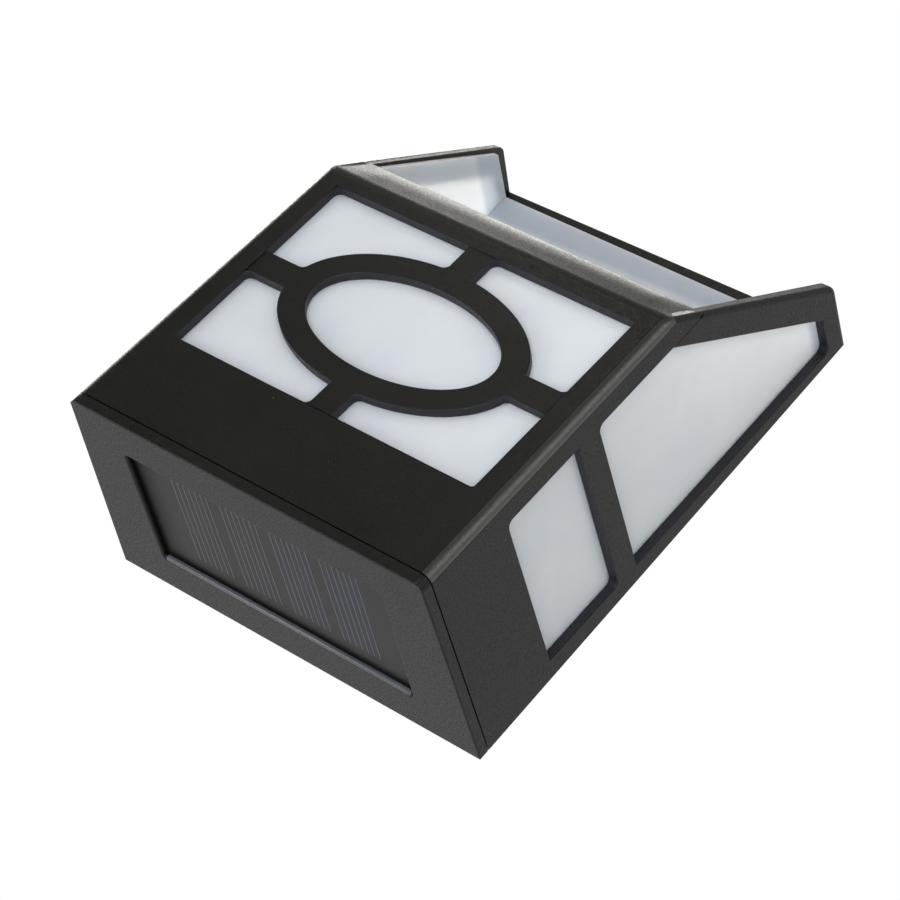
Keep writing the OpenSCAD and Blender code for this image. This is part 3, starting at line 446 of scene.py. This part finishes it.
def shadeSmooth(piece, weight=50):  # weight of large faces in the shading
    for face in piece.data.polygons:
        face.use_smooth = True
    piece.data.set_sharp_from_angle(angle=math.radians(sharpTurn))
    even = piece.modifiers.new("evenShade", "WEIGHTED_NORMAL")
    even.keep_sharp = True
    even.weight = weight


def cutStrip(work, out, spot, across):  # cuts the faces that look along out, at a spot in mm
    flat = [f for f in work.faces if f.normal.dot(out) > sameWay]
    parts = dict.fromkeys([*flat, *(e for f in flat for e in f.edges), *(v for f in flat for v in f.verts)])
    bmesh.ops.bisect_plane(work, geom=list(parts), plane_co=Vector(spot) * mm, plane_no=across, dist=0.001 * mm)


def crownVisor(mesh, look):  # the strip below the ridge isn't flat but turns on towards the mouth
    out = Vector((0, -cutSlope, -1)).normalized()
    work = bmesh.new()
    work.from_mesh(mesh)
    for step in range(1, look["steps"]):
        depth = look["from"] + (look["to"] - look["from"]) * step / look["steps"]
        cutStrip(work, out, (0, -depth, 0), (0, 1, 0))
    for step in range(look["steps"] + 1):
        along = look["end"] - look["fade"] * step / look["steps"]
        for side in (-1, 1):
            cutStrip(work, out, (side * along, 0, 0), (1, 0, 0))
    for vertex in work.verts:
        share = (-vertex.co.y / mm - look["from"]) / (look["to"] - look["from"])
        if abs(fromRim(vertex.co)) < onCut and 0.01 < share < 0.99:
            fade = clamp((look["end"] - abs(vertex.co.x) / mm) / look["fade"])
            vertex.co += out * (look["bulge"] * 4 * share * (1 - share) * fade * mm)
    work.to_mesh(mesh)
    work.free()


def dropRim(mesh, look):
    for vertex in mesh.vertices:
        spot = vertex.co
        depth, near = -spot.y / mm, fromRim(spot)
        share = clamp((look["stillFrom"] - near) / (look["stillFrom"] - look["band"]))
        far = clamp(0.5 + spot.x / mm / (2 * shellForm["halfFoot"]))
        heel, toe, blend = (look[name][0] * (1 - far) + look[name][1] * far
                            for name in ("heelDrop", "toeDrop", "visorBlend"))
        fade = clamp((visorLook["from"] - depth) / blend)
        drop = (heel + (toe - heel) * min(1, depth / shellForm["footDepth"])) * fade
        low, high = look["wall"]
        if near < look["edge"] and low < sideDepth(spot) < high and depth > look["backWall"]:
            spot.x -= math.copysign(look["thick"][0 if spot.x < 0 else 1] * mm, spot.x)
        spot.z -= drop * share * mm
        spot.y -= look["toeAhead"] * far * fade * share * clamp((depth - look["toeFrom"]) / look["toeBlend"]) * mm


def onSkin(spot, look):  # at the front, a side or the back, but not on a step across a spoke
    front = frontDepth(spot)
    onSpoke = min(abs(spot.x) / mm, abs(heightOf(spot) - look["spokeHeight"])) < look["spokeHalf"]
    step = front < look["stepNear"] and onSpoke
    return not step and min(sideDepth(spot), front, -spot.y / mm) < look["skin"]


def soften(piece, look, rim):
    work = bmesh.new()
    work.from_mesh(piece.data)
    weight = work.edges.layers.float.new("bevel_weight_edge")
    for edge in work.edges:
        ends = [v.co for v in edge.verts]
        if len(edge.link_faces) == 2 and edge.calc_face_angle() > math.radians(look["sharpFrom"]):
            clear = all(fromRim(e) > rim["stillFrom"] and heightOf(e) < look["softenTo"] for e in ends)
            if clear and all(onSkin(e, look) for e in ends):
                edge[weight] = 1
    work.to_mesh(piece.data)
    work.free()
    edges = piece.modifiers.new("softEdges", "BEVEL")
    edges.width = look["soften"] * mm
    edges.segments = look["softenSteps"]
    edges.limit_method = "WEIGHT"
    edges.use_clamp_overlap = False
    shadeSmooth(piece, look["shadeWeight"])


def pickFinish(face, window, highlightEdge):  # 0 grained skin, 1 window walls with painted light, 2 near side's front edge with a painted highlight
    spot, out = face.center, face.normal
    front, side = frontDepth(spot), sideDepth(spot)
    low, high = highlightEdge["aside"]
    atEdge = min(front, side) < highlightEdge["thin"] and max(front, side) < highlightEdge["wide"]
    if atEdge and out.y < highlightEdge["ahead"] and low < out.x < high:
        return 2
    if fromRim(spot) <= window["clear"] or heightOf(spot) >= window["below"]:
        return 0
    if window["from"] < front < window["front"] and side > window["corner"] and abs(out.y) < window["turn"]:
        return 1
    offWall = min(front, -spot.y / mm) > window["corner"]
    if window["from"] < side < window["side"] and offWall and abs(out.x) < window["turn"]:
        return 1
    return 0


housing = solidCopy("housing_shell", "mouldedHousing")
crownVisor(housing.data, visorLook)
dropRim(housing.data, rimLook)
soften(housing, housingLook, rimLook)
for finish in (blackAbs, insertGlossPaintedLightAbs, paintedHighlightEdgeAbs):
    housing.data.materials.append(finish)
for face in housing.data.polygons:
    face.material_index = pickFinish(face, windowLook, highlightEdgeLook)
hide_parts("housing_shell")
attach(housing, "lamp")
print("housing edges softened")


# Cap, and the smooth silicone bead along the wall side of its opening, which shows as a bright line: a lamp lights
# it, and its grey, lighter than the shell, is a painted highlight

beadLook = {"radius": 0.6, "length": 60.4, "back": -1.85, "deep": 0.58, "steps": 24}  # mm, steps round it
diffuserLook = {"rim": 1.6, "down": -0.3}  # mm from the rim, and how much a face looks down, for the cut edge


def makeCap():
    cap = solidCopy("solar_cap", "mouldedCap")
    cap.data.materials.append(blackAbs)
    shadeSmooth(cap)
    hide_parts("solar_cap")
    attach(cap, "lamp")


def makeBead(look):  # a rod with round ends
    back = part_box("panel_resin")[1].y
    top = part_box("solar_cap")[1].z
    work = bmesh.new()
    bmesh.ops.create_uvsphere(work, u_segments=look["steps"], v_segments=look["steps"], radius=look["radius"] * mm,
                              matrix=Matrix.Rotation(math.radians(90), 3, "Y").to_4x4())
    for vertex in work.verts:
        if abs(vertex.co.x) > 1e-7:  # m, the middle ring stays
            vertex.co.x += math.copysign(look["length"] / 2 * mm, vertex.co.x)
    bmesh.ops.translate(work, verts=work.verts, vec=(0, back + look["back"] * mm, top - look["deep"] * mm))
    mesh = keepMesh(work, "lipBead")
    mesh.materials.append(made["siliconeBeadPaintedHighlight"])
    for face in mesh.polygons:
        face.use_smooth = True
    bead = addPiece("lipBead", mesh)
    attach(bead, "lamp")


def makeDiffuser(look):
    sleeve = solidCopy("diffuser_sleeve", "mouldedDiffuser")
    sleeve.data.materials.append(milkyWall)
    sleeve.data.materials.append(milkyEdge)
    for face in sleeve.data.polygons:
        if fromRim(face.center) < look["rim"] and face.normal.z < look["down"]:
            face.material_index = 1
    shadeSmooth(sleeve)
    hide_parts("diffuser_sleeve")
    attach(sleeve, "lamp")


makeCap()
makeBead(beadLook)
makeDiffuser(diffuserLook)
print("cap sealed, diffuser edge cut")


# Parting line of the mould down each side, where the two halves met: a fine ridge of flash, coloured near black
# and matte as a painted shadow

partingLook = {
    "width": 0.2, "proud": 0.03,  # mm, a real one is nearer 0.05 wide and wouldn't show
    "shoulder": 0.4,              # height of its edges, as a share of its top
    "root": 0.2,                  # mm inside the wall
    "depth": visorLook["from"], "from": 43.4, "to": (34.9, 35.2),  # mm from the wall, and heights of its ends
}


def makeParting(look):
    half, edge = look["width"] / 2, look["proud"] * look["shoulder"]
    profile = ((-look["root"], -half), (edge, -half), (look["proud"], 0), (edge, half), (-look["root"], half))
    work = bmesh.new()
    for side, last in zip((-1, 1), look["to"]):
        rings = []
        for height in (look["from"], (look["from"] + last) / 2, last):
            skin = side * halfWidth(height, look["depth"])
            level = shellForm["bottom"] + height
            rings.append([work.verts.new(Vector((skin + side * out, along - look["depth"], level)) * mm)
                          for out, along in profile])
        for one, two in zip(rings, rings[1:]):
            for i in range(len(profile)):
                work.faces.new((one[i - 1], one[i], two[i], two[i - 1]))
        work.faces.new(rings[0])
        work.faces.new(rings[-1])
    bmesh.ops.recalc_face_normals(work, faces=work.faces)
    mesh = keepMesh(work, "partingLine")
    mesh.materials.append(paintedShadowSeamAbs)
    piece = addPiece("partingLine", mesh)
    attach(piece, "lamp")


makeParting(partingLook)
print("parting line drawn")


# Cell plates, and the silver fingers printed across each cell, both repeated by a node tree

stripLook = {
    "fingerWidth": 0.16, "apart": 1.45, "perCell": 7,  # mm, a real finger is nearer 0.1 and wouldn't show
    "cellWidth": 9.2, "cellPitch": 12.1, "cells": 4,   # mm
    "thick": 0.1,
    "fingerProud": 0.02, "cellProud": 0.01,            # mm that they stand out of the film's face
}


def setInput(modifier, name, value):
    for item in modifier.node_group.interface.items_tree:
        if item.name == name and item.in_out == "INPUT":
            modifier[item.identifier] = value


def addRow(tree, shape, count, apart):  # copies along the panel, made real
    step = addNode(tree, "ShaderNodeCombineXYZ", feeds={0: apart})
    line = addNode(tree, "GeometryNodeMeshLine", feeds={"Count": count, "Offset": step.outputs[0]}, mode="OFFSET")
    copies = addNode(tree, "GeometryNodeInstanceOnPoints", feeds={"Points": line.outputs[0], "Instance": shape})
    return addNode(tree, "GeometryNodeRealizeInstances", feeds={0: copies.outputs[0]}).outputs[0]


def makeStripTree(name, finish):
    tree = bpy.data.node_groups.new(name, "GeometryNodeTree")
    tree.interface.new_socket("Geometry", in_out="OUTPUT", socket_type="NodeSocketGeometry")
    for socket, kind in (("Width", "Float"), ("Length", "Float"), ("Thick", "Float"), ("Apart", "Float"),
                         ("Cell Pitch", "Float"), ("Per Cell", "Int"), ("Cells", "Int")):
        tree.interface.new_socket(socket, in_out="INPUT", socket_type="NodeSocket" + kind)
    given = addNode(tree, "NodeGroupInput").outputs
    bulk = addNode(tree, "ShaderNodeCombineXYZ", feeds={0: given["Width"], 1: given["Length"], 2: given["Thick"]})
    bar = addNode(tree, "GeometryNodeMeshCube", feeds={"Size": bulk.outputs[0]})
    oneCell = addRow(tree, bar.outputs[0], given["Per Cell"], given["Apart"])
    whole = addRow(tree, oneCell, given["Cells"], given["Cell Pitch"])
    coated = addNode(tree, "GeometryNodeSetMaterial", {"Material": finish}, {0: whole})
    addNode(tree, "NodeGroupOutput", feeds={0: coated.outputs[0]})
    return tree


def makeStrips(name, look, finish, width, perCell, proud):  # bars across every cell, or one plate on each
    low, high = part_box("solar_cells")
    carrier = addPiece(name, bpy.data.meshes.new(name))
    grow = carrier.modifiers.new("strips", "NODES")
    grow.node_group = makeStripTree(name, finish)
    for socket, value in (("Width", width * mm), ("Length", high.y - low.y), ("Thick", look["thick"] * mm),
                          ("Apart", look["apart"] * mm), ("Cell Pitch", look["cellPitch"] * mm),
                          ("Per Cell", perCell), ("Cells", look["cells"])):
        setInput(grow, socket, value)
    mesh = bpy.data.meshes.new_from_object(carrier.evaluated_get(bpy.context.evaluated_depsgraph_get()))
    carrier.modifiers.remove(grow)
    carrier.data = mesh
    margin = (look["cellWidth"] - (perCell - 1) * look["apart"]) / 2 * mm
    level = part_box("panel_resin")[1].z + (proud - look["thick"] / 2) * mm
    mesh.transform(Matrix.Translation((low.x + margin, (low.y + high.y) / 2, level)))
    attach(carrier, "lamp")


makeStrips("cellPlates", stripLook, filmOnCell, stripLook["cellWidth"], 1, stripLook["cellProud"])
makeStrips("cellFingers", stripLook, made["silverPaste"], stripLook["fingerWidth"], stripLook["perCell"],
           stripLook["fingerProud"])
print("cells and fingers laid")


# Light and surroundings: a white studio with soft lamps, and a pale floor well below the hanging lamp

studio = {
    "floorDrop": 0.6, "floorSize": 8.0, "floor": "#b8b8b8", "floorRough": 0.9,  # m
    "behind": 0.58, "before": 0.12,  # light that falls on the lamp from behind and from in front
    "seenBefore": 0.12,              # the room before the lamp, as gloss shows it; behind it is white
    "turn": (-0.6, 0.5),             # where the room changes from the one to the other
    "middle": (0, -24, -42),         # mm, what the lamps point at
    "lamps": [
        # name, direction from the middle, distance, size, watts, colour
        ("skyBox", (-0.45, -0.8, 0.45), 1.0, 0.8, 9.0, "#f6faff"),
        ("sideBox", (-0.74, -0.52, -0.43), 1.0, 0.5, 1.8, "#fff8ee"),
        ("ridgeStrip", (0.66, 0.45, -0.62), 0.5, 0.3, 2.0, "#fffdf6"),
        ("lipBox", (0.53, -0.43, 0.73), 0.8, 0.4, 2.4, "#fffdf8"),
        ("lowBox", (0.45, -0.68, -0.58), 0.45, 0.1, 0.17, "#fffdf8"),
        ("farBox", (0.95, 0.15, -0.3), 0.6, 0.4, 2.4, "#fffaf2"),
    ],
}
plainWhite = (1, 1, 1, 1)


def roomLevel(tree, way, before, behind, look):
    return addRange(tree, way, look["turn"], (before, behind), interpolation_type="SMOOTHSTEP")


def addMax(tree, one, two):
    return addNode(tree, "ShaderNodeMath", feeds={0: one, 1: two}, operation="MAXIMUM").outputs[0]


def seenMix(tree, kind, way, look, plain):  # camera, gloss and clear pieces see the background, not its light
    rays = addNode(tree, "ShaderNodeLightPath").outputs
    white = addMax(tree, roomLevel(tree, way, look["seenBefore"], 1.0, look), rays["Is Camera Ray"])
    seen = addNode(tree, kind, {"Color": plainWhite}, {"Strength": white})
    straight = addMax(tree, rays["Is Camera Ray"], rays["Is Glossy Ray"])
    either = addMax(tree, straight, rays["Is Transmission Ray"])
    return addNode(tree, "ShaderNodeMixShader", feeds={0: either, 1: plain, 2: seen.outputs[0]}).outputs[0]


def makeRoom(look):
    world = bpy.data.worlds.new("studio")
    scene.world = world
    world.use_nodes = True
    tree = world.node_tree
    tree.nodes.clear()
    around = addNode(tree, "ShaderNodeTexCoord").outputs["Generated"]
    way = addNode(tree, "ShaderNodeSeparateXYZ", feeds={0: around}).outputs["Y"]
    level = roomLevel(tree, way, look["before"], look["behind"], look)
    plain = addNode(tree, "ShaderNodeBackground", {"Color": plainWhite}, {"Strength": level})
    mixed = seenMix(tree, "ShaderNodeBackground", way, look, plain.outputs[0])
    addNode(tree, "ShaderNodeOutputWorld", feeds={"Surface": mixed})


def makeFloor(look):
    finish, tree, shader, place = startFinish("palePaperFloor")
    shader.inputs["Base Color"].default_value = colour(look["floor"])
    shader.inputs["Roughness"].default_value = look["floorRough"]
    way = addNode(tree, "ShaderNodeSeparateXYZ", feeds={0: place}).outputs["Y"]
    mixed = seenMix(tree, "ShaderNodeEmission", way, look, shader.outputs[0])
    last = [n for n in tree.nodes if n.type == "OUTPUT_MATERIAL"][0]
    tree.links.new(mixed, last.inputs["Surface"])
    low = cadBox[0].z - look["floorDrop"]
    half = look["floorSize"] / 2
    corners = [(x, y, low) for x, y in ((-half, -half), (half, -half), (half, half), (-half, half))]
    mesh = bpy.data.meshes.new("floor")
    mesh.from_pydata(corners, [], [(0, 1, 2, 3)])
    mesh.materials.append(finish)
    floor = addPiece("floor", mesh)


def makeLamps(look):
    middle = Vector(look["middle"]) * mm
    for name, way, away, size, watts, tint in look["lamps"]:
        data = bpy.data.lights.new(name, "AREA")
        data.size = size
        data.energy = watts
        data.color = colour(tint)[:3]
        lamp = addPiece(name, data)
        spot = middle + Vector(way).normalized() * away
        turn = (middle - spot).to_track_quat("-Z", "Y").to_matrix().to_4x4()
        lamp.matrix_world = Matrix.Translation(spot) @ turn


makeRoom(studio)
makeFloor(studio)
makeLamps(studio)
scene.view_settings.view_transform = "Standard"
print("studio lit")
